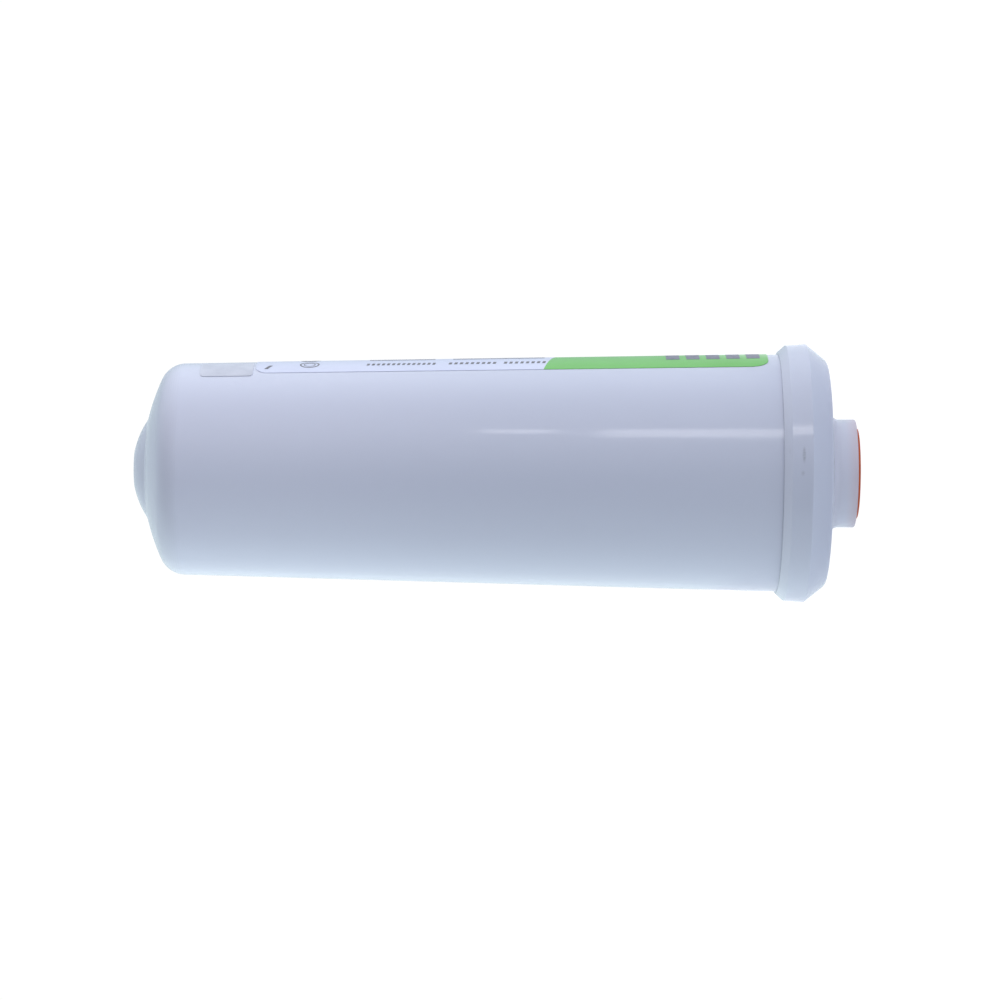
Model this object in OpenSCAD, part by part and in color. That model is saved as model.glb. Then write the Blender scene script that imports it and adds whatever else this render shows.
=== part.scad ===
// Inline water filter cartridge with a carbon block inside, standing on its neck, domed end up.
// The axis is Z. The origin is the middle of the inlet plug's outer face, which the part stands on.
// Water comes in at the neck, flows round the element, through the block and out at the domed end.

/* [Body] */
// Length of the tapered side, from the collar's lip to where the dome's edge starts to curve
body_length = 204.5; // [150:0.5:260]
// Diameter of the side at the collar's lip
body_d_wide = 82.2; // [78:0.1:90]
// Diameter of the side where the dome's edge starts
body_d_narrow = 73.2; // [68:0.1:78]
// Thickness of the body's wall
body_wall = 3.2; // [2.4:0.1:4]
// Radius of the dome's rounded edge
dome_edge_r = 9; // [7:0.5:12]
// Radius of the dome's shallow crown
dome_crown_r = 75; // [62:1:110]

/* [Outlet port] */
// Radius of the ball that the outlet boss is cut from
outlet_boss_r = 30.4; // [26:0.2:34]
// Height of the outlet boss above the top of the dome's crown
outlet_boss_rise = 2.65; // [1.5:0.05:4]
// Diameter of the flat at the tip of the outlet boss
outlet_tip_d = 13.8; // [13.4:0.1:16]
// Diameter of the outlet port's wall, inside the thread
outlet_port_d = 11.12; // [9.5:0.02:11.9]
// Depth of the outlet port
outlet_port_depth = 15; // [12:0.5:18]
// Width of the chamfer at the outlet port's mouth
outlet_chamfer = 0.8; // [0.4:0.1:0.9]

/* [Socket for the element] */
// Diameter of the water passage between the outlet port and the socket
passage_d = 7; // [5:0.5:8]
// Diameter of the socket that the element's spigot plugs into
socket_d = 16; // [14:0.5:18]
// Depth of the socket
socket_depth = 19; // [16:0.5:24]
// Thickness of the socket's wall
socket_wall = 3; // [2:0.25:4]
// Length of the passage between the port's floor and the socket
passage_length = 4; // [3:0.5:8]
// Number of ribs that stiffen the dome round the socket
dome_ribs = 8; // [4:1:12]
// Thickness of those ribs and of the fins that centre the element
rib_t = 2; // [1.5:0.25:3]

/* [End cap] */
// Thickness of the collar's wall round the body's rim
collar_wall = 3.3; // [2.4:0.1:4.5]
// How much the collar's band narrows towards the lip, on the radius
collar_draft = 0.5; // [0:0.1:0.8]
// Height of the collar's band
band_height = 7; // [5:0.5:12]
// Height of the bevelled lip above the band
lip_height = 2.6; // [2:0.1:3.5]
// Width of the flat on top of the lip, inside its bevel
lip_flat = 0.4; // [0.2:0.05:0.8]
// Width of the groove between the lip and the body
lip_groove = 0.4; // [0.2:0.05:0.6]
// Height of the sloping shoulder, from the cap's face to the band
shoulder_height = 7.25; // [6:0.25:9]
// Width of the sloping shoulder
shoulder_width = 5.9; // [4:0.1:7]
// Radius of the round between the cap's face and its shoulder
shoulder_round = 3; // [1:0.5:5]
// How far the cap's face rises from the neck out to the shoulder
face_rise = 1.85; // [1:0.05:3]
// Thickness of the cap's floor
cap_floor = 3.6; // [3:0.1:4.5]
// Thickness of the inner skirt that stands inside the body's rim
inner_skirt_t = 2; // [1.5:0.1:3]
// Height of the inner skirt above the floor of the weld groove
inner_skirt_height = 6; // [4:0.5:9]
// Number of ribs that carry the element
support_ribs = 8; // [4:1:12]
// Height of those ribs above the cap's floor
support_rib_height = 9; // [7:0.5:12]

/* [Neck and inlet port] */
// Outer diameter of the neck
neck_d = 37.4; // [34:0.1:42]
// Length of the neck, from its end to the cap's face
neck_length = 8.35; // [6:0.05:14]
// Radius of the fillet at the neck's root
neck_fillet = 3; // [1:0.5:4]
// Diameter of the inlet port's wall, inside the thread
inlet_port_d = 24.12; // [20:0.02:26]
// Depth of the inlet port
inlet_port_depth = 14.6; // [13:0.1:18]
// Width of the chamfer at the inlet port's mouth
inlet_chamfer = 1.1; // [0.5:0.1:1.5]
// Thickness of the port's wall inside the cap
inlet_port_wall = 4; // [3:0.25:5]
// Diameter of the passage above the inlet port
inlet_passage_d = 14; // [10:0.5:15]
// Length of the passage above the inlet port
inlet_passage_length = 3; // [2.5:0.25:5]

/* [Plug] */
// Diameter of the plug's flange
plug_flange_d = 31.2; // [29:0.1:33]
// Thickness of the plug's flange
plug_flange_t = 0.95; // [0.8:0.05:2]
// Length of the plug's stem
plug_stem_length = 10.6; // [8:0.1:11]
// Thickness of the plug's wall
plug_wall = 1.4; // [1:0.1:2]
// Room between the plug's stem and the port
plug_clearance = 0.45; // [0.3:0.05:0.8]
// How far the sealing rings stand out from the stem
plug_ring_rise = 0.25; // [0.1:0.05:0.28]
// Thickness of the web across the plug's hollow, which pliers grip
plug_web_t = 1.6; // [1:0.1:3]

/* [Washer and strainer] */
// Thickness of the inlet washer
washer_t = 2.4; // [1.5:0.1:2.5]
// Thickness of the strainer's rim
strainer_rim_t = 1; // [0.8:0.1:1.5]
// Thickness of the strainer's perforated plate
strainer_plate_t = 0.5; // [0.3:0.1:0.7]
// Diameter of each hole in the strainer
strainer_hole_d = 1.2; // [0.8:0.1:1.4]
// Rings of holes round the strainer's middle hole
strainer_rings = 3; // [2:1:3]

/* [Element] */
// Gap for the water between the element's end caps and the body's wall, at the narrow end
annulus_gap = 1.4; // [1:0.1:4]
// Distance from the start of the dome's edge down to the top of the element's open end cap
element_headroom = 26; // [24:0.5:34]
// Thickness of the discs of both element end caps
element_cap_t = 2.5; // [2:0.25:3.5]
// Thickness of the skirts of both element end caps
element_skirt_t = 1.5; // [1:0.1:2.5]
// Height of the skirts inside the element end caps
element_skirt_height = 8; // [5:0.5:12]
// Thickness of the hot-melt rings
bond_t = 0.8; // [0.5:0.1:1.5]
// Thickness of the outer wrap
wrap_t = 1.4; // [0.8:0.1:2.5]
// Diameter of the net's strands
net_strand_d = 0.9; // [0.6:0.1:1.2]
// Strands of the net that run along the element
net_bars = 20; // [12:1:30]
// Spacing of the net's rings
net_pitch = 11; // [8:0.5:16]
// Outer diameter of the perforated core tube
core_d = 18; // [16:0.5:22]
// Thickness of the core tube's wall
core_wall = 1.5; // [1:0.1:2.2]
// Diameter of the holes in the core tube
core_hole_d = 4; // [3:0.25:5]
// Spacing of the core tube's holes along it
core_hole_pitch = 10.5; // [8:0.5:16]
// Thickness of the core's inner wrap
core_wrap_t = 0.5; // [0.3:0.1:1]
// Room between pieces that slip into each other
slip = 0.1; // [0.05:0.01:0.2]

/* [Spigot and seals] */
// Diameter of the O-rings' section
o_ring_section = 2.4; // [1.8:0.1:2.6]
// Distance between the two O-rings
o_ring_spacing = 5.5; // [4.5:0.25:7]
// Distance from the spigot's tip to the middle of the upper O-ring
o_ring_inset = 4; // [3:0.25:5]
// Wall of the spigot under its grooves
spigot_wall = 1.5; // [1:0.1:2]

/* [Label] */
// Distance from the collar's lip to the label
label_inset = 3.9; // [1:0.1:8]
// Length of the label along the body
label_length = 175.8; // [130:0.2:190]
// How far round the body the label goes, in degrees
label_wrap = 180; // [150:5:200]
// Where the label's edge starts, in degrees from +X towards +Y
label_start = -28; // [-45:1:0]
// Thickness of the film
film_t = 0.12; // [0.08:0.01:0.2]
// Thickness of the adhesive, left as a gap under the films
glue_t = 0.02; // [0.01:0.01:0.04]
// Radius of the label's corners
label_corner_r = 5; // [2:0.5:8]
// Height of the middle of the green field's wavy edge above the label's lower end
field_height = 67.7; // [40:0.5:100]
// Rise and fall of the wavy edge, above and below its middle
field_wave = 12.5; // [4:0.5:20]
// Where the wavy edge is highest, in degrees from +X towards +Y
field_crest = -70; // [-90:1:90]

/* [Batch sticker] */
// Length of the sticker along the body
sticker_length = 18; // [10:0.5:20]
// Width of the sticker round the body
sticker_width = 13.5; // [8:0.5:20]
// Gap between the label's upper end and the sticker
sticker_gap = 0.8; // [0.5:0.1:1.5]
// Distance round the body from the label's edge to the sticker, negative before the edge
sticker_offset = -2; // [-6:0.5:10]

/* [Hidden] */
$fn = 96;
// How far cutters stand out of what they cut
EPS = 0.01;
// How far the straight steps of an arc may lie from the true arc
FLATNESS = 0.01;

// Heights, from the plug's face up
neck_z = plug_flange_t;
face_z = neck_z + neck_length;
shoulder_z = face_z + face_rise;
band_z = shoulder_z + shoulder_height;
bevel_z = band_z + band_height;
lip_z = bevel_z + lip_height;
rim_z = band_z;
dome_z = lip_z + body_length;

// The side's taper, and its radius at any height
body_r_wide = body_d_wide / 2;
body_r_narrow = body_d_narrow / 2;
draft = (body_r_wide - body_r_narrow) / body_length;
function side_r(z) = body_r_wide - (z - lip_z) * draft;
function bore_r(z) = side_r(z) - body_wall;

// The dome: an edge arc that leaves the side smoothly, then the crown arc
draft_angle = atan(draft);
edge_centre = [body_r_narrow - dome_edge_r * cos(draft_angle), dome_z - dome_edge_r * sin(draft_angle)];
crown_z = edge_centre[1] - sqrt(pow(dome_crown_r - dome_edge_r, 2) - pow(edge_centre[0], 2));
crown_start = atan2(edge_centre[1] - crown_z, edge_centre[0]);

// The outlet boss is a cap of a ball, cut flat at its tip
outlet_tip_r = outlet_tip_d / 2;
tip_z = crown_z + dome_crown_r + outlet_boss_rise;
boss_z = tip_z - sqrt(pow(outlet_boss_r, 2) - pow(outlet_tip_r, 2));
boss_centres = boss_z - crown_z;
boss_root_h = (pow(dome_crown_r, 2) - pow(outlet_boss_r, 2) + pow(boss_centres, 2)) / (2 * boss_centres);
boss_root_r = sqrt(pow(dome_crown_r, 2) - pow(boss_root_h, 2));
boss_root_angle = atan2(boss_root_h, boss_root_r);

// Outlet port, passage and socket, from the tip down
outlet_port_r = outlet_port_d / 2;
outlet_floor_z = tip_z - outlet_port_depth;
socket_top_z = outlet_floor_z - passage_length;
socket_z = socket_top_z - socket_depth;
socket_r = socket_d / 2;
socket_outer_r = socket_r + socket_wall;
socket_lead = 1;

// Inside of the dome
inner_edge_r = dome_edge_r - body_wall;
inner_crown_r = dome_crown_r - body_wall;
inner_crown_end = acos(socket_outer_r / inner_crown_r);

// The end cap, which grips the body's rim between two skirts
groove_r = side_r(rim_z) + slip;
collar_r = groove_r + collar_wall;
lip_groove_depth = 1.6;
lip_groove_r = body_r_wide + lip_groove;
neck_r = neck_d / 2;
shoulder_r = collar_r - shoulder_width;
inner_skirt_r = bore_r(rim_z + inner_skirt_height) - slip;
inner_skirt_bore = inner_skirt_r - inner_skirt_t;
floor_z = face_z + cap_floor;
rib_top_z = floor_z + support_rib_height;

// The inlet port
inlet_port_r = inlet_port_d / 2;
inlet_floor_z = neck_z + inlet_port_depth;
inlet_top_z = inlet_floor_z + inlet_passage_length;
inlet_tube_r = inlet_port_r + inlet_port_wall;
inlet_passage_r = inlet_passage_d / 2;
strainer_seat_width = 1.6;
strainer_r = inlet_passage_r + strainer_seat_width;

// The element, seated on the end cap's ribs
element_top_z = dome_z - element_headroom;
element_r = bore_r(element_top_z) - annulus_gap;
closed_floor_z = rib_top_z + element_cap_t;
block_z = closed_floor_z + bond_t;
block_top_z = element_top_z - element_cap_t - bond_t;
block_length = block_top_z - block_z;
net_r = element_r - element_skirt_t - slip - net_strand_d / 2;
wrap_r = net_r - net_strand_d / 2 - slip;
block_r = wrap_r - wrap_t - slip;
core_r = core_d / 2;
core_bore = core_r - core_wall;
core_wrap_r = core_r + slip + core_wrap_t;
block_bore = core_wrap_r + slip;
centring_fin_gap = 0.3;

// The spigot and its seals
spigot_end_gap = 1;
spigot_tip_z = socket_top_z - spigot_end_gap;
spigot_clearance = 0.3;
spigot_r = socket_r - spigot_clearance;
o_ring_upper_z = spigot_tip_z - o_ring_inset;
o_ring_lower_z = o_ring_upper_z - o_ring_spacing;
o_ring_r = socket_r - slip / 2 - o_ring_section / 2;
groove_floor_r = o_ring_r - o_ring_section / 2 - slip / 2;
spigot_bore = groove_floor_r - spigot_wall;

// The plug
plug_stem_r = inlet_port_r - plug_clearance;
plug_cup_r = plug_stem_r - plug_wall;
plug_end_z = neck_z + plug_stem_length;

// The films
label_z = lip_z + label_inset;
label_top_z = label_z + label_length;
label_mid_r = side_r(label_z + label_length / 2);
field_z = label_z + field_height;
sticker_z = label_top_z + sticker_gap;
sticker_r = side_r(sticker_z + sticker_length / 2);
sticker_angle = label_start + sticker_offset / sticker_r * 180 / PI;
sticker_wrap = sticker_width / sticker_r * 180 / PI;
sticker_corner_r = 1.5;

// Points on an arc about a centre, from one angle to another, as close together as FLATNESS asks
function arc(centre, r, from, to) =
    let (steps = ceil(abs(to - from) / (2 * acos(1 - FLATNESS / r))))
    [for (i = [0:steps]) let (a = from + (to - from) * i / steps) centre + r * [cos(a), sin(a)]];

function unit(v) = v / norm(v);
function short_way(a) = a > 180 ? a - 360 : a < -180 ? a + 360 : a;

// The corner b between a and c, rounded to a radius
function corner(a, b, c, r) =
    let (
        u = unit(a - b),
        v = unit(c - b),
        half = acos(u * v) / 2,
        centre = b + unit(u + v) * r / sin(half),
        first = b + u * r / tan(half) - centre,
        last = b + v * r / tan(half) - centre,
        from = atan2(first[1], first[0]),
        to = atan2(last[1], last[0])
    )
    arc(centre, r, from, from + short_way(to - from));

// A closed outline of [x, y] points, and of [x, y, radius] where a corner is rounded
function rounded(path) =
    let (n = len(path))
    [
        for (i = [0:n - 1])
            let (
                p = path[i],
                a = path[(i + n - 1) % n],
                c = path[(i + 1) % n]
            )
            each len(p) == 3
                ? corner([a[0], a[1]], [p[0], p[1]], [c[0], c[1]], p[2])
                : [p]
    ];

// Copies of a piece spread evenly round the axis
module around(count) {
    for (i = [0:count - 1])
        rotate([0, 0, 360 * i / count]) children();
}

// A hollow cylinder between two heights
module tube(outer_r, inner_r, z0, z1) {
    translate([0, 0, z0])
        difference() {
            cylinder(r = outer_r, h = z1 - z0);
            translate([0, 0, -EPS]) cylinder(r = inner_r, h = z1 - z0 + 2 * EPS);
        }
}

// The housing. The crown ends blend_turn degrees before the outlet boss's root, the boss starts blend_reach
// inside that root, and a round of blend_r between the two lets the one flow into the other.
module housing() {
    blend_r = 6;
    blend_turn = 1.6;
    blend_reach = 1.6;
    crown_end = boss_root_angle - blend_turn;
    boss_start_r = boss_root_r - blend_reach;
    color([0.9, 0.92, 0.95])
        union() {
            rotate_extrude()
                polygon(concat(
                    [[side_r(rim_z), rim_z]],
                    arc(edge_centre, dome_edge_r, draft_angle, crown_start),
                    arc([0, crown_z], dome_crown_r, crown_start, crown_end),
                    corner(
                        [0, crown_z] + dome_crown_r * [cos(crown_end), sin(crown_end)],
                        [boss_root_r, crown_z + boss_root_h],
                        [boss_start_r, boss_z + sqrt(pow(outlet_boss_r, 2) - pow(boss_start_r, 2))],
                        blend_r
                    ),
                    arc(
                        [0, boss_z],
                        outlet_boss_r,
                        acos(boss_start_r / outlet_boss_r),
                        acos(outlet_tip_r / outlet_boss_r)
                    ),
                    [
                        [outlet_port_r + outlet_chamfer, tip_z],
                        [outlet_port_r, tip_z - outlet_chamfer],
                        [outlet_port_r, outlet_floor_z],
                        [passage_d / 2, outlet_floor_z],
                        [passage_d / 2, socket_top_z],
                        [socket_r, socket_top_z],
                        [socket_r, socket_z + socket_lead],
                        [socket_r + socket_lead, socket_z],
                        [socket_outer_r, socket_z]
                    ],
                    arc([0, crown_z], inner_crown_r, inner_crown_end, crown_start),
                    arc(edge_centre, inner_edge_r, crown_start, draft_angle),
                    [[bore_r(rim_z), rim_z]]
                ));
            dome_ribbing();
            centring_fins();
        }
}

// Ribs between the socket and the dome
module dome_ribbing() {
    rib_drop = 6;
    rib_z = socket_top_z - rib_drop;
    sink = body_wall / 2;
    intersection() {
        around(dome_ribs)
            translate([socket_outer_r - sink, -rib_t / 2, rib_z])
                cube([body_r_narrow, rib_t, tip_z - rib_z]);
        rotate_extrude()
            polygon(concat(
                [[0, rib_z], [bore_r(rib_z) + sink, rib_z]],
                arc(edge_centre, inner_edge_r + sink, draft_angle, crown_start),
                arc([0, crown_z], inner_crown_r + sink, crown_start, 90)
            ));
    }
}

// Fins on the wall that keep the element's open end cap on the axis
module centring_fins() {
    fin_z = element_top_z - element_cap_t - element_skirt_height;
    fin_rise = 2;
    fin_length = element_skirt_height + element_cap_t + fin_rise;
    cut_z = fin_z - 1;
    sink = body_wall / 2;
    intersection() {
        around(dome_ribs)
            translate([element_r + centring_fin_gap, -rib_t / 2, fin_z])
                cube([body_wall + annulus_gap + fin_rise, rib_t, fin_length]);
        rotate_extrude()
            polygon([
                [0, cut_z],
                [bore_r(cut_z) + sink, cut_z],
                [bore_r(dome_z) + sink, dome_z],
                [0, dome_z]
            ]);
    }
}

module end_cap() {
    strainer_seat_z = inlet_floor_z + strainer_rim_t + slip;
    neck_edge = 0.5;
    crisp = 0.4;
    skirt_fillet = 2;
    tube_fillet = 1;
    rib_sink = 1;
    color([0.91, 0.93, 0.96])
        union() {
            rotate_extrude()
                polygon(rounded([
                    [inlet_port_r + inlet_chamfer, neck_z],
                    [neck_r, neck_z, neck_edge],
                    [neck_r, face_z, neck_fillet],
                    [shoulder_r, shoulder_z, shoulder_round],
                    [collar_r, band_z, crisp],
                    [collar_r - collar_draft, bevel_z, crisp],
                    [lip_groove_r + lip_flat, lip_z],
                    [lip_groove_r, lip_z],
                    [side_r(lip_z - lip_groove_depth) + slip, lip_z - lip_groove_depth],
                    [groove_r, rim_z],
                    [inner_skirt_r, rim_z],
                    [inner_skirt_r, rim_z + inner_skirt_height],
                    [inner_skirt_bore, rim_z + inner_skirt_height],
                    [inner_skirt_bore, floor_z, skirt_fillet],
                    [inlet_tube_r, floor_z, tube_fillet],
                    [inlet_tube_r, inlet_top_z],
                    [inlet_passage_r, inlet_top_z],
                    [inlet_passage_r, strainer_seat_z],
                    [strainer_r + slip, strainer_seat_z],
                    [strainer_r + slip, inlet_floor_z],
                    [inlet_port_r, inlet_floor_z],
                    [inlet_port_r, neck_z + inlet_chamfer]
                ]));
            around(support_ribs)
                translate([inlet_tube_r - rib_sink, -rib_t / 2, floor_z - rib_sink])
                    cube([
                        inner_skirt_bore - inlet_tube_r + 2 * rib_sink,
                        rib_t,
                        support_rib_height + rib_sink
                    ]);
        }
}

module inlet_plug() {
    edge = 0.3;
    cup_fillet = 1;
    stem_taper = 0.3;
    ring_count = 3;
    ring_pitch = plug_stem_length / (ring_count + 1);
    floor_in_z = plug_end_z - plug_wall;
    web_reach = plug_cup_r + plug_wall / 3;
    color([0.9, 0.38, 0.2])
        union() {
            rotate_extrude()
                polygon(rounded([
                    [0, floor_in_z],
                    [plug_cup_r - stem_taper, floor_in_z, cup_fillet],
                    [plug_cup_r, 0, edge],
                    [plug_flange_d / 2, 0, edge],
                    [plug_flange_d / 2, neck_z],
                    [plug_stem_r, neck_z],
                    [plug_stem_r - stem_taper, plug_end_z, cup_fillet],
                    [0, plug_end_z]
                ]));
            for (i = [1:ring_count])
                translate([0, 0, neck_z + ring_pitch * i])
                    rotate_extrude()
                        polygon([
                            [plug_stem_r - stem_taper - plug_wall / 2, -plug_ring_rise - stem_taper],
                            [plug_stem_r + plug_ring_rise, 0],
                            [plug_stem_r - stem_taper - plug_wall / 2, plug_ring_rise + stem_taper]
                        ]);
            translate([-web_reach, -plug_web_t / 2, neck_z])
                cube([2 * web_reach, plug_web_t, floor_in_z - neck_z + plug_wall / 2]);
        }
}

module inlet_washer() {
    color([0.12, 0.12, 0.13])
        tube(inlet_port_r - 2 * slip, inlet_passage_r, inlet_floor_z - washer_t, inlet_floor_z);
}

module inlet_strainer() {
    plate_z = inlet_floor_z + (strainer_rim_t - strainer_plate_t) / 2;
    plate_sink = 0.5;
    drill_z = plate_z - EPS;
    drill_length = strainer_plate_t + 2 * EPS;
    hole_pitch = inlet_passage_r / (strainer_rings + 0.5);
    color([0.75, 0.76, 0.78])
        union() {
            tube(strainer_r, inlet_passage_r, inlet_floor_z, inlet_floor_z + strainer_rim_t);
            difference() {
                translate([0, 0, plate_z]) cylinder(r = inlet_passage_r + plate_sink, h = strainer_plate_t);
                translate([0, 0, drill_z]) cylinder(d = strainer_hole_d, h = drill_length);
                for (ring = [1:strainer_rings])
                    around(6 * ring)
                        translate([hole_pitch * ring, 0, drill_z])
                            cylinder(d = strainer_hole_d, h = drill_length, $fn = 24);
            }
        }
}

// Closed cup under the element, with a boss that centres the core tube
module closed_end_cap() {
    boss_height = 4;
    edge = 0.8;
    color([0.86, 0.87, 0.88])
        rotate_extrude()
            polygon(rounded([
                [0, rib_top_z],
                [element_r, rib_top_z, edge],
                [element_r, closed_floor_z + element_skirt_height],
                [element_r - element_skirt_t, closed_floor_z + element_skirt_height],
                [element_r - element_skirt_t, closed_floor_z],
                [core_bore - slip, closed_floor_z],
                [core_bore - slip, closed_floor_z + boss_height, edge],
                [0, closed_floor_z + boss_height]
            ]));
}

module bond_ring(z) {
    tube(element_r - element_skirt_t - slip, core_bore, z, z + bond_t);
}

module lower_bond() {
    color([0.93, 0.9, 0.78]) bond_ring(closed_floor_z);
}

module upper_bond() {
    color([0.93, 0.9, 0.78]) bond_ring(block_top_z);
}

module carbon_block() {
    edge = 1;
    color([0.13, 0.13, 0.14])
        rotate_extrude()
            polygon([
                [block_bore, block_z],
                [block_r - edge, block_z],
                [block_r, block_z + edge],
                [block_r, block_top_z - edge],
                [block_r - edge, block_top_z],
                [block_bore, block_top_z]
            ]);
}

module core_tube() {
    rows = floor((block_length - 2 * core_hole_pitch) / core_hole_pitch);
    first_z = block_z + (block_length - (rows - 1) * core_hole_pitch) / 2;
    holes_across = 3;
    color([0.88, 0.89, 0.9])
        difference() {
            tube(core_r, core_bore, block_z, block_top_z);
            for (row = [0:rows - 1])
                for (i = [0:holes_across - 1])
                    translate([0, 0, first_z + row * core_hole_pitch])
                        rotate([0, 0, 180 / holes_across * (i + (row % 2) / 2)])
                            rotate([0, 90, 0])
                                cylinder(d = core_hole_d, h = 2 * core_d, center = true, $fn = 24);
        }
}

module core_wrap() {
    color([0.95, 0.95, 0.93]) tube(core_wrap_r, core_r + slip, block_z, block_top_z);
}

module prefilter_wrap() {
    color([0.94, 0.94, 0.92]) tube(wrap_r, wrap_r - wrap_t, block_z, block_top_z);
}

// Square netting: rings round the wrap, joined by bars that run along it
module outer_net() {
    rings = floor((block_length - net_pitch) / net_pitch) + 1;
    first_z = block_z + (block_length - (rings - 1) * net_pitch) / 2;
    ring_r = net_strand_d / 2;
    bar_r = 0.8 * ring_r;
    color([0.2, 0.45, 0.75])
        union() {
            for (ring = [0:rings - 1])
                translate([0, 0, first_z + ring * net_pitch - ring_r])
                    tube(net_r + ring_r, net_r - ring_r, 0, net_strand_d);
            around(net_bars)
                translate([net_r, 0, block_z])
                    cylinder(r = bar_r, h = block_length, $fn = 24);
        }
}

// Cup over the element, with the spigot that plugs into the housing's socket
module open_end_cap() {
    collar_height = 4;
    collar_foot = 4;
    collar_head = 1.5;
    nose_length = 4;
    edge = 0.8;
    under_z = block_top_z + bond_t;
    half_groove = o_ring_section / 2 + slip;
    color([0.86, 0.87, 0.88])
        rotate_extrude()
            polygon(rounded([
                [spigot_bore, under_z - nose_length],
                [core_bore - slip, under_z - nose_length],
                [core_bore - slip, under_z],
                [element_r - element_skirt_t, under_z],
                [element_r - element_skirt_t, under_z - element_skirt_height],
                [element_r, under_z - element_skirt_height],
                [element_r, element_top_z, edge],
                [spigot_r + collar_foot, element_top_z],
                [spigot_r + collar_head, element_top_z + collar_height],
                [spigot_r, element_top_z + collar_height],
                [spigot_r, o_ring_lower_z - half_groove],
                [groove_floor_r, o_ring_lower_z - half_groove],
                [groove_floor_r, o_ring_lower_z + half_groove],
                [spigot_r, o_ring_lower_z + half_groove],
                [spigot_r, o_ring_upper_z - half_groove],
                [groove_floor_r, o_ring_upper_z - half_groove],
                [groove_floor_r, o_ring_upper_z + half_groove],
                [spigot_r, o_ring_upper_z + half_groove],
                [spigot_r, spigot_tip_z, edge],
                [spigot_bore, spigot_tip_z]
            ]));
}

module o_ring(z) {
    translate([0, 0, z])
        rotate_extrude()
            translate([o_ring_r, 0]) circle(d = o_ring_section, $fn = 32);
}

module lower_o_ring() {
    color([0.1, 0.1, 0.11]) o_ring(o_ring_lower_z);
}

module upper_o_ring() {
    color([0.1, 0.1, 0.11]) o_ring(o_ring_upper_z);
}

// What a corner cutter leaves outside a film's rounded corner. The origin is the round's centre.
module corner_bite(r, side, up) {
    reach = r + 1;
    depth = 6;
    difference() {
        translate([-depth / 2, side > 0 ? 0 : -reach, up > 0 ? 0 : -reach])
            cube([depth, reach, reach]);
        rotate([0, 90, 0]) cylinder(r = r, h = 2 * depth, center = true);
    }
}

// A film on the tapered side, with rounded corners
module film(z0, z1, start, wrap, corner_r) {
    r = side_r((z0 + z1) / 2);
    turn = corner_r / r * 180 / PI;
    difference() {
        rotate([0, 0, start])
            rotate_extrude(angle = wrap)
                polygon([
                    [side_r(z0) + glue_t, z0],
                    [side_r(z0) + glue_t + film_t, z0],
                    [side_r(z1) + glue_t + film_t, z1],
                    [side_r(z1) + glue_t, z1]
                ]);
        for (end = [[z0 + corner_r, -1], [z1 - corner_r, 1]]) {
            rotate([0, 0, start + turn])
                translate([side_r(end[0]), 0, end[0]]) corner_bite(corner_r, -1, end[1]);
            rotate([0, 0, start + wrap - turn])
                translate([side_r(end[0]), 0, end[0]]) corner_bite(corner_r, 1, end[1]);
        }
    }
}

// Everything above the tilted plane that cuts the green field's wavy edge out of the label
module above_field() {
    size = 3 * body_d_wide + label_length;
    translate([0, 0, field_z])
        rotate([0, 0, field_crest])
            rotate([0, -atan(field_wave / label_mid_r), 0])
                translate([-size / 2, -size / 2, 0]) cube(size);
}

module label() {
    color([0.97, 0.97, 0.97])
        intersection() {
            film(label_z, label_top_z, label_start, label_wrap, label_corner_r);
            above_field();
        }
}

module label_colour_field() {
    color([0.47, 0.78, 0.43])
        difference() {
            film(label_z, label_top_z, label_start, label_wrap, label_corner_r);
            above_field();
        }
}

module batch_sticker() {
    color([0.78, 0.8, 0.84])
        film(sticker_z, sticker_z + sticker_length, sticker_angle, sticker_wrap, sticker_corner_r);
}

housing();
end_cap();
inlet_plug();
inlet_washer();
inlet_strainer();
closed_end_cap();
lower_bond();
carbon_block();
core_tube();
core_wrap();
prefilter_wrap();
outer_net();
upper_bond();
open_end_cap();
lower_o_ring();
upper_o_ring();
label();
label_colour_field();
batch_sticker();
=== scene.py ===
"""Inline water filter cartridge: finish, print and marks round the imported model, its studio and camera.

The row frame is in metres, with +Z along the cartridge. Places on the tapered side are given as a height
and an angle, in degrees from +X towards +Y. The camera looks along +Y and is rolled, so the picture's right
is -Z.
"""

import math

import bmesh
import bpy
from mathutils import Matrix, Vector


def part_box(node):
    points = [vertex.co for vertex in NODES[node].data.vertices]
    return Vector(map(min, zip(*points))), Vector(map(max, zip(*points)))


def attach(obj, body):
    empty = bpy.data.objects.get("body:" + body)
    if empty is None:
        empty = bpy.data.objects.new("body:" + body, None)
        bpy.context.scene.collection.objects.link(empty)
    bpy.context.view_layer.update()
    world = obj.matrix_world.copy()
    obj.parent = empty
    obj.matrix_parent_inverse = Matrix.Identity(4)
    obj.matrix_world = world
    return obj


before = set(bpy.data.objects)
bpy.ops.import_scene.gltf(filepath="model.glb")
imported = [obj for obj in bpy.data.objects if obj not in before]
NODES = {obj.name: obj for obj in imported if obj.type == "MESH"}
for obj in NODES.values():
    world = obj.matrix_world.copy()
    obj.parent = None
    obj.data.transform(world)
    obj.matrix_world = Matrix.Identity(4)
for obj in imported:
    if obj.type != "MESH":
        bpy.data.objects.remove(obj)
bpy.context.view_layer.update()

MM = 0.001
INCH = 25.4 * MM

# Places that the photograph gives, in its own pixels, and the tilt of the cartridge's axis in degrees
PHOTO_SIZE = 1000
METRES_PER_PIXEL = 0.3465 * MM
AXIS_TILT = 0.39
AXIS_ROW = 471.1
PLUG_FACE_COLUMN = 856.7


def rim_radius(node, z, reach=0.3 * MM):
    """Largest distance from the axis of a node's points near a height."""
    return max(math.hypot(v.co.x, v.co.y) for v in NODES[node].data.vertices if abs(v.co.z - z) < reach)


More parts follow.
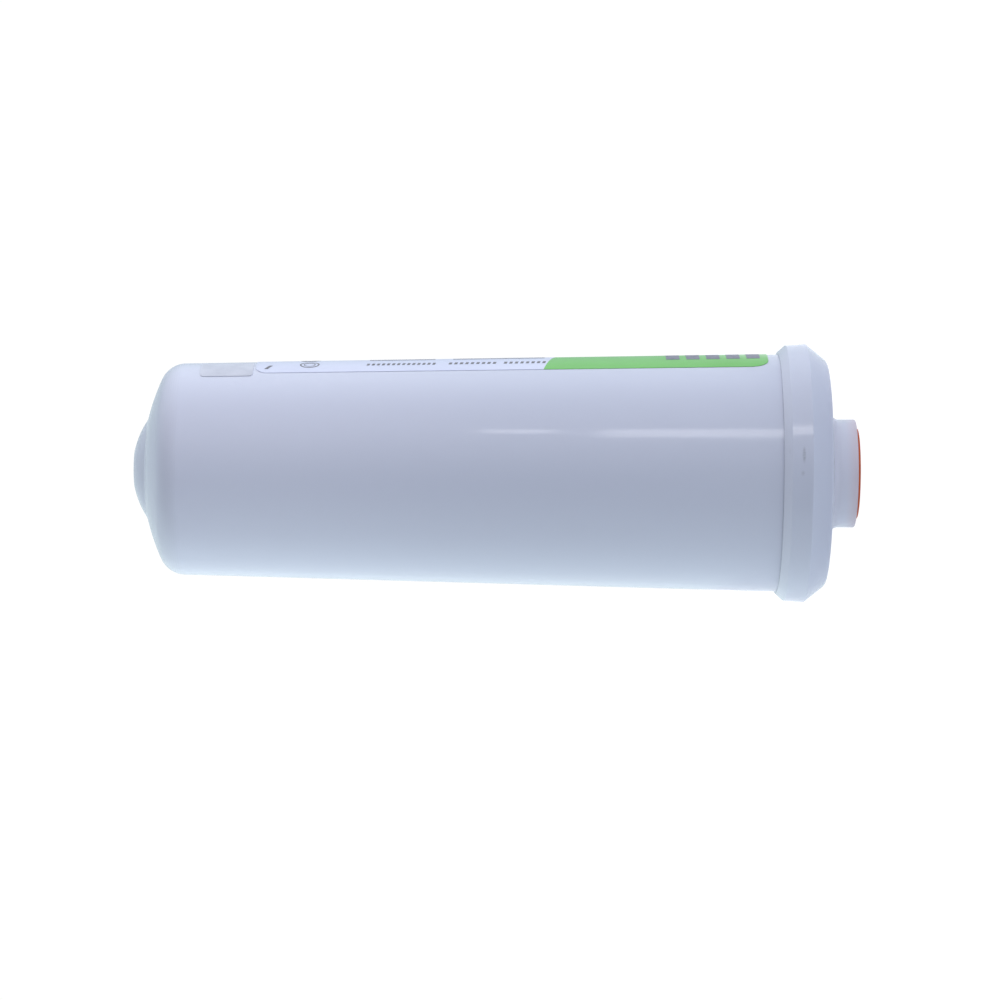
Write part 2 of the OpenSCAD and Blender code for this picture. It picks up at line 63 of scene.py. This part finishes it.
# The label: its ends and outer radii, the angle of its near edge, and its thickness with the glue
LABEL_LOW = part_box("label_colour_field")[0].z
LABEL_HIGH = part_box("label")[1].z
LABEL_R_LOW = rim_radius("label_colour_field", LABEL_LOW)
LABEL_R_HIGH = rim_radius("label", LABEL_HIGH)
LABEL_R_MID = (LABEL_R_LOW + LABEL_R_HIGH) / 2
LABEL_START = -28
LABEL_T = 0.14 * MM


def label_radius(z):
    """Outer radius of the label at a height."""
    share = (z - LABEL_LOW) / (LABEL_HIGH - LABEL_LOW)
    return LABEL_R_LOW + (LABEL_R_HIGH - LABEL_R_LOW) * share


def on_side(radius, z, angle):
    """A point at a distance from the axis, a height and an angle."""
    a = math.radians(angle)
    return Vector((radius * math.cos(a), radius * math.sin(a), z))


# Node trees

def add_node(tree, kind, inputs=None, **settings):
    """Adds a node, and feeds each named input a value or another node's output."""
    made = tree.nodes.new(kind)
    for key, value in settings.items():
        setattr(made, key, value)
    for key, value in (inputs or {}).items():
        socket = made.inputs[key]
        if isinstance(value, bpy.types.NodeSocket):
            tree.links.new(value, socket)
        else:
            socket.default_value = value
    return made


def new_material(name, **values):
    """A material with one Principled shader, whose sockets take the given values."""
    material = bpy.data.materials.new(name)
    material.use_nodes = True
    shader = material.node_tree.nodes["Principled BSDF"]
    for key, value in values.items():
        shader.inputs[key.replace("_", " ").title().replace("Ior", "IOR")].default_value = value
    return material, material.node_tree, shader


def place(tree):
    """Where a point lies in the row frame."""
    return add_node(tree, "ShaderNodeTexCoord").outputs["Object"]


def noise(tree, vector, scale, detail=2.0, stretch=(1, 1, 1)):
    """Noise from 0 to 1, with its features stretched along an axis where stretch is small."""
    mapped = add_node(tree, "ShaderNodeMapping", {"Vector": vector, "Scale": stretch})
    made = add_node(
        tree, "ShaderNodeTexNoise", {"Vector": mapped.outputs["Vector"], "Scale": scale, "Detail": detail}
    )
    return made.outputs["Fac"]


def ramp(tree, value, low, high, to_low=0.0, to_high=1.0):
    """Maps a value's range from low to high smoothly onto another range, clamped."""
    made = add_node(
        tree,
        "ShaderNodeMapRange",
        {"Value": value, "From Min": low, "From Max": high, "To Min": to_low, "To Max": to_high},
        interpolation_type="SMOOTHSTEP",
    )
    return made.outputs["Result"]


def maths(tree, operation, a, b=0.0):
    """A sum, a product or another operation on one or two values."""
    made = add_node(tree, "ShaderNodeMath", operation=operation)
    for socket, value in zip(made.inputs, (a, b)):
        if isinstance(value, bpy.types.NodeSocket):
            tree.links.new(value, socket)
        else:
            socket.default_value = value
    return made.outputs["Value"]


def blend_colours(tree, share, a, b):
    """Colour a where share is 0 and colour b where it is 1."""
    made = add_node(tree, "ShaderNodeMix", data_type="RGBA")
    for index, value in ((0, share), (6, a), (7, b)):
        if isinstance(value, bpy.types.NodeSocket):
            tree.links.new(value, made.inputs[index])
        else:
            made.inputs[index].default_value = value if index == 0 else (*value, 1)
    return made.outputs[2]


def spot(tree, vector, centre, half_size, core):
    """1 in the core of an ellipsoid round a point, a share of its half size, fading to 0 at its surface."""
    offset = add_node(tree, "ShaderNodeVectorMath", {0: vector, 1: centre}, operation="SUBTRACT")
    scaled = add_node(
        tree, "ShaderNodeVectorMath", {0: offset.outputs["Vector"], 1: half_size}, operation="DIVIDE"
    )
    length = add_node(tree, "ShaderNodeVectorMath", {0: scaled.outputs["Vector"]}, operation="LENGTH")
    return ramp(tree, length.outputs["Value"], 1.0, core)


def bump(tree, shader, height, distance):
    """Raises a surface by a height from 0 to 1, times a distance."""
    made = add_node(tree, "ShaderNodeBump", {"Height": height, "Distance": distance})
    tree.links.new(made.outputs["Normal"], shader.inputs["Normal"])


# Materials

# The milky plastic is darker at the collar's end, with painted light that makes it lighter towards the domed
# end between two heights
MILKY_DARK = (0.545, 0.587, 0.71)
MILKY_PAINTED_LIT = (0.62, 0.66, 0.795)
MILKY_LIT_FROM, MILKY_LIT_TO = 90 * MM, 240 * MM

# Tints of the end cap, and the heights where each one starts and is at its strongest
# The neck is lighter, partly its own tone with no block behind it and partly painted light
NECK_PAINTED_LIGHT_AND_TONE = (0.74, 0.765, 0.86)
NECK_FROM, NECK_TO = 12.5 * MM, 8.5 * MM
# Painted light: the bevel and the lip above it lighter, as if lit from the domed end
BEVEL_FROM, BEVEL_TO = 25.2 * MM, 25.6 * MM
PLUG_GLOW = (0.80, 0.42, 0.36)
GLOW_FROM, GLOW_TO = 5.5 * MM, 1.2 * MM

# Scuffs on the collar: height, angle, half size and strength
SCUFF_GREY = (0.16, 0.18, 0.22)
SCUFFS = (
    (21.6 * MM, -82.5, (3.6 * MM, 3.6 * MM, 0.8 * MM), 0.45),
    (22.0 * MM, -90.5, (1.2 * MM, 2.0 * MM, 0.9 * MM), 0.2),
    (26.4 * MM, -81, (1.6 * MM, 2.0 * MM, 0.6 * MM), 0.25),
)


def milky_plastic(name):
    """Natural polypropylene: milky, faintly blue, glossy and finely drawn, with painted light that makes it
    lighter towards the domed end.
    """
    material, tree, shader = new_material(
        name, ior=1.49, subsurface_weight=0.12, subsurface_radius=(0.9, 0.95, 1.0), subsurface_scale=3 * MM
    )
    where = place(tree)
    z = add_node(tree, "ShaderNodeSeparateXYZ", {"Vector": where}).outputs["Z"]
    cloud = maths(tree, "MULTIPLY", noise(tree, where, 18, 3.0), 0.16)
    # Painted light: lighter towards the domed end, with a random cloud of tone
    shade = maths(tree, "ADD", ramp(tree, z, MILKY_LIT_FROM, MILKY_LIT_TO, 0.0, 0.92), cloud)
    colour = blend_colours(tree, shade, MILKY_DARK, MILKY_PAINTED_LIT)
    drawn = noise(tree, where, 260, 3.0, (1, 1, 0.02))
    peel = noise(tree, where, 900, 2.0)
    tree.links.new(ramp(tree, drawn, 0.3, 0.7, 0.1, 0.15), shader.inputs["Roughness"])
    height = maths(tree, "ADD", drawn, maths(tree, "MULTIPLY", peel, 0.15))
    bump(tree, shader, height, 0.012 * MM)
    return material, tree, shader, where, colour


def housing_plastic():
    """The milky plastic with nothing on it."""
    material, tree, shader, where, colour = milky_plastic("housing_plastic")
    tree.links.new(colour, shader.inputs["Base Color"])
    return material


def cap_plastic():
    """The housing's plastic, with a lighter neck, partly its own tone and partly painted light, painted light
    on the collar's bevel, the plug's colour shining through the neck and scuffs on the collar.
    """
    material, tree, shader, where, colour = milky_plastic("cap_plastic")
    z = add_node(tree, "ShaderNodeSeparateXYZ", {"Vector": where}).outputs["Z"]
    # The neck lighter, partly as its own tone and partly with painted light, the bevel lighter with painted
    # light, and the plug's colour through the neck
    for low, high, strength, tint in (
        (NECK_FROM, NECK_TO, 1.0, NECK_PAINTED_LIGHT_AND_TONE),
        (BEVEL_FROM, BEVEL_TO, 0.9, MILKY_PAINTED_LIT),
        (GLOW_FROM, GLOW_TO, 0.2, PLUG_GLOW),
    ):
        colour = blend_colours(tree, ramp(tree, z, low, high, 0.0, strength), colour, tint)
    band_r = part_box("end_cap")[1].x
    grain = noise(tree, where, 1400, 2.0, (1, 1, 0.5))
    for height, angle, half_size, strength in SCUFFS:
        mark = spot(tree, where, on_side(band_r, height, angle), half_size, 0.2)
        broken = maths(tree, "MULTIPLY", mark, ramp(tree, grain, 0.3, 0.6, 0.4 * strength, strength))
        colour = blend_colours(tree, broken, colour, SCUFF_GREY)
    tree.links.new(colour, shader.inputs["Base Color"])
    return material


def plug_plastic():
    """Soft orange polyethylene."""
    material, tree, shader = new_material(
        "plug_plastic", ior=1.51, subsurface_weight=0.1, subsurface_radius=(1.0, 0.4, 0.2),
        subsurface_scale=1 * MM
    )
    where = place(tree)
    cloud = noise(tree, where, 120, 3.0)
    colour = blend_colours(tree, ramp(tree, cloud, 0.35, 0.65), (0.78, 0.17, 0.045), (0.72, 0.145, 0.035))
    tree.links.new(colour, shader.inputs["Base Color"])
    tree.links.new(ramp(tree, cloud, 0.3, 0.7, 0.38, 0.48), shader.inputs["Roughness"])
    bump(tree, shader, noise(tree, where, 700, 3.0), 0.01 * MM)
    return material


def film(name, colour, deep, roughness):
    """Printed film: an even ink with a slight unevenness of its gloss."""
    material, tree, shader = new_material(name, ior=1.5, coat_weight=0.15, coat_roughness=0.12)
    where = place(tree)
    cloud = noise(tree, where, 40, 2.0)
    mixed = blend_colours(tree, ramp(tree, cloud, 0.35, 0.65), colour, deep)
    tree.links.new(mixed, shader.inputs["Base Color"])
    tree.links.new(ramp(tree, cloud, 0.3, 0.7, roughness, roughness + 0.06), shader.inputs["Roughness"])
    bump(tree, shader, noise(tree, where, 500, 3.0), 0.006 * MM)
    return material


def sticker_film():
    """Clear greyish film, slightly cloudy with adhesive."""
    material, tree, shader = new_material("sticker_film", ior=1.48)
    where = place(tree)
    cloud = noise(tree, where, 160, 3.0)
    colour = blend_colours(tree, ramp(tree, cloud, 0.3, 0.7), (0.575, 0.605, 0.70), (0.52, 0.55, 0.64))
    tree.links.new(colour, shader.inputs["Base Color"])
    tree.links.new(ramp(tree, cloud, 0.3, 0.7, 0.3, 0.42), shader.inputs["Roughness"])
    bump(tree, shader, cloud, 0.02 * MM)
    return material


def grained(name, colour, deep, roughness, scale, depth, stretch=(1, 1, 1), **values):
    """A plain material whose colour and surface vary with one grain."""
    material, tree, shader = new_material(name, **values)
    where = place(tree)
    grain = noise(tree, where, scale, 4.0, stretch)
    mixed = blend_colours(tree, ramp(tree, grain, 0.3, 0.7), colour, deep)
    tree.links.new(mixed, shader.inputs["Base Color"])
    tree.links.new(ramp(tree, grain, 0.3, 0.7, roughness, roughness + 0.12), shader.inputs["Roughness"])
    bump(tree, shader, grain, depth)
    return material


def ink(name, colour):
    """Printed ink with a fine grain."""
    return grained(name, colour, tuple(0.9 * c for c in colour), 0.35, 600, 0.004 * MM)


def dress(node, material):
    """Puts a material on a CAD node."""
    slots = NODES[node].data.materials
    slots.clear()
    slots.append(material)


moulding = grained("natural_moulding", (0.62, 0.65, 0.68), (0.57, 0.60, 0.63), 0.35, 300, 0.01 * MM,
                   ior=1.49)
hot_melt = grained("hot_melt", (0.62, 0.52, 0.28), (0.55, 0.45, 0.22), 0.3, 200, 0.05 * MM)
carbon = grained("sintered_carbon", (0.012, 0.012, 0.013), (0.03, 0.03, 0.032), 0.7, 2500, 0.08 * MM)
fleece = grained("non_woven", (0.75, 0.75, 0.72), (0.62, 0.62, 0.6), 0.85, 1600, 0.06 * MM,
                 sheen_weight=0.3)
netting = grained("netting", (0.03, 0.12, 0.42), (0.02, 0.09, 0.34), 0.35, 500, 0.02 * MM)
rubber = grained("black_rubber", (0.018, 0.018, 0.02), (0.03, 0.03, 0.032), 0.55, 900, 0.02 * MM)
steel = grained("stainless_sheet", (0.55, 0.55, 0.57), (0.48, 0.48, 0.5), 0.28, 800, 0.01 * MM,
                (1, 0.05, 1), metallic=1.0)

for name, material in {
    "housing": housing_plastic(),
    "end_cap": cap_plastic(),
    "inlet_plug": plug_plastic(),
    "inlet_washer": rubber,
    "inlet_strainer": steel,
    "closed_end_cap": moulding,
    "lower_bond": hot_melt,
    "carbon_block": carbon,
    "core_tube": moulding,
    "core_wrap": fleece,
    "prefilter_wrap": fleece,
    "outer_net": netting,
    "upper_bond": hot_melt,
    "open_end_cap": moulding,
    "lower_o_ring": rubber,
    "upper_o_ring": rubber,
    "label": film("label_film", (0.62, 0.665, 0.84), (0.605, 0.65, 0.83), 0.28),
    "label_colour_field": film("green_film", (0.105, 0.48, 0.06), (0.097, 0.455, 0.055), 0.28),
    "batch_sticker": sticker_film(),
}.items():
    dress(name, material)


# Print, drawn on the label as on flat paper: u runs from the collar to the dome, v round from the near edge

# The ink's gap to the film, its thickness, and how long a straight piece of it may be on the curved film
INK_LIFT = 0.008 * MM
INK_T = 0.02 * MM
INK_STEP = 1 * MM
RING_STEPS = 40

# How the camera sees the columns of print near the label's near edge: shifted by some pixels, and farther
# from the picture's middle
NEAR_EDGE_SHIFT = 1.6
NEAR_EDGE_SCALE = 1.013

# Headings: first and last column in the photograph, number of dashes, and which of them are left out
HEADINGS = ((546, 446.5, 18, (8,)), (435.4, 364.4, 14, ()))
HEADING_V = 5.5 * MM
DASH_SHARE = 0.55
DASH_HEIGHT = 2.2 * MM
DASH_SLANT = -0.35 * MM

# Lines of text under each heading, as long as a share of it
TEXT_LINES = 9
TEXT_DROP = 8 * MM
TEXT_PITCH = 4 * MM
TEXT_LINE_T = 0.7 * MM
LONG_LINE = 0.93
SHORT_LINE = 0.6

# Round marks, each of two rings: share of the mark's radius and width of the line
MARK_COLUMN = 309.5
MARK_COUNT = 3
MARK_V = 7.5 * MM
MARK_PITCH = 9.4 * MM
MARK_R = 3.4 * MM
MARK_RINGS = ((1.0, 0.5 * MM), (0.6, 0.3 * MM))

# One slanted mark: its column and place, its size, and how far its far side is shifted
SLANTED_COLUMN = 268
SLANTED_V = 3.4 * MM
SLANTED_SIZE = (1.2 * MM, 3.6 * MM)
SLANTED_BY = -1.6 * MM

# Bars in the title's place
BAR_COUNT = 5
BAR_U, BAR_V = 2.7 * MM, 7.4 * MM
BAR_PITCH = 6.9 * MM
BAR_SIZE = (4.6 * MM, 13 * MM)

PRINT_GREY = (0.13, 0.13, 0.15)
TITLE_GREY = (0.16, 0.17, 0.23)


def finish_piece(bm, name, material, smooth=False):
    """Turns a mesh in the making into a piece that rides on the cartridge."""
    bmesh.ops.recalc_face_normals(bm, faces=bm.faces)
    mesh = bpy.data.meshes.new(name)
    bm.to_mesh(mesh)
    bm.free()
    mesh.materials.append(material)
    for polygon in mesh.polygons:
        polygon.use_smooth = smooth
    piece = bpy.data.objects.new(name, mesh)
    bpy.context.scene.collection.objects.link(piece)
    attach(piece, "cartridge")
    return piece


def sweep(bm, sections, closed=False):
    """Joins sections, each a list of points, into one skin with ends, or into a ring where closed."""
    loops = [[bm.verts.new(point) for point in section] for section in sections]
    pairs = list(zip(loops, loops[1:]))
    if closed:
        pairs.append((loops[-1], loops[0]))
    else:
        bm.faces.new(loops[0])
        bm.faces.new(loops[-1])
    for low, high in pairs:
        for i in range(len(low)):
            j = (i + 1) % len(low)
            bm.faces.new((low[i], low[j], high[j], high[i]))


def on_label(u, v, lift):
    """A point of the print, lifted off the label."""
    z = LABEL_LOW + u
    return on_side(label_radius(z) + lift, z, LABEL_START + math.degrees(v / LABEL_R_MID))


def ink_layer(bm, pairs, closed=False):
    """A thin closed layer of ink on the label, between pairs of (u, v) points."""
    low, high = INK_LIFT, INK_LIFT + INK_T
    sweep(bm, [
        [on_label(*a, low), on_label(*a, high), on_label(*b, high), on_label(*b, low)] for a, b in pairs
    ], closed)


def block(bm, u, v, width, height, slant=0.0):
    """A rectangle with its corner at (u, v), or a parallelogram whose far side is shifted by slant."""
    steps = math.ceil(height / INK_STEP)
    sides = ((u + slant * k / steps, v + height * k / steps) for k in range(steps + 1))
    ink_layer(bm, [((left, down), (left + width, down)) for left, down in sides])


def dash_row(bm, u0, u1, v, count, skip):
    """A heading, greeked as evenly spaced slanted dashes."""
    pitch = (u1 - u0) / count
    for i in range(count):
        if i not in skip:
            block(bm, u0 + i * pitch, v, DASH_SHARE * pitch, DASH_HEIGHT, DASH_SLANT)


def ring(bm, u, v, radius, line):
    """A plain ring."""
    turns = [math.tau * i / RING_STEPS for i in range(RING_STEPS)]
    ink_layer(bm, [
        [(u + r * math.cos(t), v + r * math.sin(t)) for r in (radius, radius - line)] for t in turns
    ], closed=True)


def column_on_label(column):
    """The u of a column of the photograph, for what lies near the label's near edge."""
    middle = PHOTO_SIZE / 2
    on_axis = middle + (column - NEAR_EDGE_SHIFT - middle) / NEAR_EDGE_SCALE
    return (PLUG_FACE_COLUMN - on_axis) * METRES_PER_PIXEL - LABEL_LOW


def small_print():
    """Headings, greeked text and round marks, in grey."""
    bm = bmesh.new()
    for right, left, count, skip in HEADINGS:
        u0, u1 = column_on_label(right), column_on_label(left)
        dash_row(bm, u0, u1, HEADING_V, count, skip)
        for line in range(TEXT_LINES):
            ends_paragraph = line % 4 == 3
            length = (u1 - u0) * (SHORT_LINE if ends_paragraph else LONG_LINE)
            block(bm, u0, HEADING_V + TEXT_DROP + line * TEXT_PITCH, length, TEXT_LINE_T)
    mark_u = column_on_label(MARK_COLUMN)
    for i in range(MARK_COUNT):
        v = MARK_V + i * MARK_PITCH
        for share, line in MARK_RINGS:
            ring(bm, mark_u, v, share * MARK_R, line)
    block(bm, column_on_label(SLANTED_COLUMN), SLANTED_V, *SLANTED_SIZE, SLANTED_BY)
    finish_piece(bm, "label_small_print", ink("grey_ink", PRINT_GREY))


def title_bars():
    """Plain bars in the title's place on the green field."""
    bm = bmesh.new()
    for i in range(BAR_COUNT):
        block(bm, BAR_U + i * BAR_PITCH, BAR_V, *BAR_SIZE)
    finish_piece(bm, "label_title_bars", ink("title_ink", TITLE_GREY))


small_print()
title_bars()


# Threads of both ports, and the weld's flash in the seam

# A thread's steps in a turn, how deep its root is sunk in the port's wall, and its height where it starts
THREAD_STEPS = 56
THREAD_SINK = 0.05 * MM
THREAD_START = 0.05

# Port: piece, node, radius of its wall, height of the ridge, pitch, and where the thread begins and ends
THREADS = (
    ("outlet_thread", "housing", 5.56 * MM, 0.45 * MM, INCH / 18, 237.5 * MM, 248.4 * MM),
    ("inlet_thread", "end_cap", 12.06 * MM, 0.15 * MM, INCH / 14, 3 * MM, 13.5 * MM),
)

# The ring of flash: its sides and steps, its depth under the lip, and how far it sinks into both walls
FLASH_SIDES = 8
FLASH_STEPS = 120
FLASH_DEPTH = 0.25 * MM
FLASH_SINK = 0.1 * MM
LIP_REACH = 0.01 * MM


def finish_moulding(bm, name, node):
    """A smooth piece of a node's own plastic."""
    finish_piece(bm, name, NODES[node].data.materials[0], smooth=True)


def thread(name, node, radius, ridge, pitch, z_low, z_high):
    """A right-handed ridge inside a port, running out over half a turn at both ends."""
    bm = bmesh.new()
    turns = (z_high - z_low) / pitch
    sections = []
    for i in range(round(turns * THREAD_STEPS) + 1):
        turned = i / THREAD_STEPS
        share = min(1.0, 2 * turned + THREAD_START, 2 * (turns - turned) + THREAD_START)
        z = z_low + turned * pitch
        angle = 360 * turned
        half = 0.5 * ridge * share + THREAD_SINK
        sections.append([
            on_side(radius + THREAD_SINK, z - half, angle),
            on_side(radius - ridge * share, z, angle),
            on_side(radius + THREAD_SINK, z + half, angle),
        ])
    sweep(bm, sections)
    finish_moulding(bm, name, node)


def weld_flash():
    """A thin ring of flash that fills the seam between the collar's lip and the body."""
    bm = bmesh.new()
    lip_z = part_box("end_cap")[1].z
    lip = [v.co for v in NODES["end_cap"].data.vertices if v.co.z > lip_z - LIP_REACH]
    lip_r = min(math.hypot(co.x, co.y) for co in lip)
    body_r = label_radius(lip_z) - LABEL_T
    middle_r, middle_z = (lip_r + body_r) / 2, lip_z - FLASH_DEPTH
    half = (lip_r - body_r) / 2 + FLASH_SINK
    corners = [math.tau * k / FLASH_SIDES for k in range(FLASH_SIDES)]
    outline = [(middle_r + half * math.cos(t), middle_z + half * math.sin(t)) for t in corners]
    angles = [360 * i / FLASH_STEPS for i in range(FLASH_STEPS)]
    sweep(bm, [[on_side(r, z, angle) for r, z in outline] for angle in angles], closed=True)
    finish_moulding(bm, "weld_flash", "end_cap")


for port in THREADS:
    thread(*port)
weld_flash()


# Studio

# Light of the room, seen from the cartridge: towards the camera, behind, and on the sides of +X and -X
ROOM_FRONT = (0.03, 0.03, 0.03)
ROOM_BACK = (0.52, 0.62, 0.66)
ROOM_PLUS_X = (1.08, 1.035, 1.10)
ROOM_MINUS_X = (0.86, 0.94, 0.94)
ROOM_SIDE = Vector((0.97, -0.24, 0))
CAMERA_WHITE = 1.02

# Strip lamps: angle from the camera's direction towards +X, height of the middle, size and radiance
STRIPS = {
    "strip": (38.2, 0.050, (0.047, 0.090), 2.5),
    "strip_middle": (38.2, 0.0467, (0.047, 0.044), 0.8),
    "strip_thin": (40.7, 0.1285, (0.018, 0.029), 3.7),
}
STRIP_AIM = (0.012, -0.038)
STRIP_DISTANCE = 0.3
STRIP_WHITE = (0.97, 0.96, 1.0)
WATTS_PER_RADIANCE = 4

# The floor: its radius, the distances from the middle line between which its light grows, and its light there
FLOOR_R = 1.1
FLOOR_NEAR, FLOOR_FAR = 0.02, 0.09
FLOOR_DIM, FLOOR_BRIGHT = 0.27, 0.55

# How white the camera sees the floor, and what share of it that white covers
FLOOR_WHITE = 1.15
FLOOR_COVER = 0.8

# The camera, in millimetres, and its distance from the axis in metres
SENSOR, LENS = 36.0, 144.0
CAMERA_DISTANCE = 1.386


def area_lamp(name, location, target, size, radiance):
    """An area lamp that faces a point, with its second side along Z, as bright as its radiance says."""
    data = bpy.data.lights.new(name, "AREA")
    data.shape = "RECTANGLE"
    data.size, data.size_y = size
    data.energy = WATTS_PER_RADIANCE * radiance * size[0] * size[1]
    data.color = STRIP_WHITE
    lamp = bpy.data.objects.new(name, data)
    back = (Vector(location) - Vector(target)).normalized()
    side = Vector((0, 0, 1)).cross(back).normalized()
    turned = Matrix((side, back.cross(side), back)).transposed().to_4x4()
    lamp.matrix_world = Matrix.Translation(location) @ turned
    bpy.context.scene.collection.objects.link(lamp)


def seen_by_camera(tree):
    """1 for what the camera sees, 0 for what only lights or is reflected."""
    return add_node(tree, "ShaderNodeLightPath").outputs["Is Camera Ray"]


def white_room():
    """A room that is bright behind the cartridge and on both sides, and dark where the camera stands."""
    world = bpy.data.worlds.new("white_room")
    bpy.context.scene.world = world
    world.use_nodes = True
    tree = world.node_tree
    tree.nodes.clear()
    direction = add_node(tree, "ShaderNodeTexCoord").outputs["Generated"]

    light = ROOM_FRONT
    for side, low, high, colour in (
        (Vector((0, 1, 0)), -0.45, 0.25, ROOM_BACK),
        (ROOM_SIDE, 0.0, 1.0, ROOM_PLUS_X),
        (-ROOM_SIDE, 0.0, 1.0, ROOM_MINUS_X),
    ):
        toward = add_node(tree, "ShaderNodeVectorMath", {0: direction, 1: side}, operation="DOT_PRODUCT")
        share = ramp(tree, toward.outputs["Value"], low, high)
        scaled = add_node(tree, "ShaderNodeVectorMath", {0: colour, "Scale": share}, operation="SCALE")
        added = scaled.outputs["Vector"]
        total = add_node(tree, "ShaderNodeVectorMath", {0: light, 1: added}, operation="ADD")
        light = total.outputs["Vector"]
    room = add_node(tree, "ShaderNodeBackground", {"Color": light, "Strength": 1.0})
    white = add_node(tree, "ShaderNodeBackground", {"Color": (1, 1, 1, 1), "Strength": CAMERA_WHITE})
    mixed = add_node(
        tree, "ShaderNodeMixShader", {0: seen_by_camera(tree), 1: room.outputs[0], 2: white.outputs[0]}
    )
    add_node(tree, "ShaderNodeOutputWorld", {"Surface": mixed.outputs[0]})


def floor():
    """A round pale floor, which the camera sees nearly as white as the room."""
    bm = bmesh.new()
    bmesh.ops.create_circle(bm, cap_ends=True, segments=96, radius=FLOOR_R)
    mesh = bpy.data.meshes.new("floor")
    bm.to_mesh(mesh)
    bm.free()
    material, tree, shader = new_material("floor_card", roughness=0.7, emission_color=(0.9, 0.92, 1.0, 1))
    tone = ramp(tree, noise(tree, place(tree), 6, 2.0), 0.3, 0.7)
    tree.links.new(
        blend_colours(tree, tone, (0.66, 0.67, 0.69), (0.69, 0.7, 0.72)), shader.inputs["Base Color"]
    )
    x = add_node(tree, "ShaderNodeSeparateXYZ", {"Vector": place(tree)}).outputs["X"]
    lit = ramp(tree, maths(tree, "ABSOLUTE", x), FLOOR_NEAR, FLOOR_FAR, FLOOR_DIM, FLOOR_BRIGHT)
    tree.links.new(lit, shader.inputs["Emission Strength"])
    glow = add_node(tree, "ShaderNodeEmission", {"Color": (1, 1, 1, 1), "Strength": FLOOR_WHITE})
    share = maths(tree, "MULTIPLY", seen_by_camera(tree), FLOOR_COVER)
    mixed = add_node(
        tree, "ShaderNodeMixShader", {0: share, 1: shader.outputs[0], 2: glow.outputs[0]}
    )
    tree.links.new(mixed.outputs[0], tree.nodes["Material Output"].inputs["Surface"])
    mesh.materials.append(material)
    piece = bpy.data.objects.new("floor", mesh)
    bpy.context.scene.collection.objects.link(piece)


def strip_lamps():
    """Strips on the camera's side, whose reflections draw the long highlight and its thin end."""
    for name, (side, z, size, radiance) in STRIPS.items():
        a = math.radians(side)
        target = Vector((*STRIP_AIM, z))
        location = target + STRIP_DISTANCE * Vector((math.sin(a), -math.cos(a), 0))
        area_lamp(name, location, target, size, radiance)


def camera():
    """The photograph's view: level, along +Y, and rolled so that the cartridge lies across the picture."""
    data = bpy.data.cameras.new("camera")
    data.sensor_width, data.lens = SENSOR, LENS
    made = bpy.data.objects.new("camera", data)
    x = (AXIS_ROW - PHOTO_SIZE / 2) * METRES_PER_PIXEL
    z = (PLUG_FACE_COLUMN - PHOTO_SIZE / 2) * METRES_PER_PIXEL
    level = Matrix(((0, 1, 0), (0, 0, -1), (-1, 0, 0))).to_4x4()
    tilt = Matrix.Rotation(math.radians(AXIS_TILT), 4, "Z")
    made.matrix_world = Matrix.Translation((x, -CAMERA_DISTANCE, z)) @ level @ tilt
    bpy.context.scene.collection.objects.link(made)
    bpy.context.scene.camera = made


bpy.context.scene.view_settings.view_transform = "Standard"
white_room()
floor()
strip_lamps()
camera()
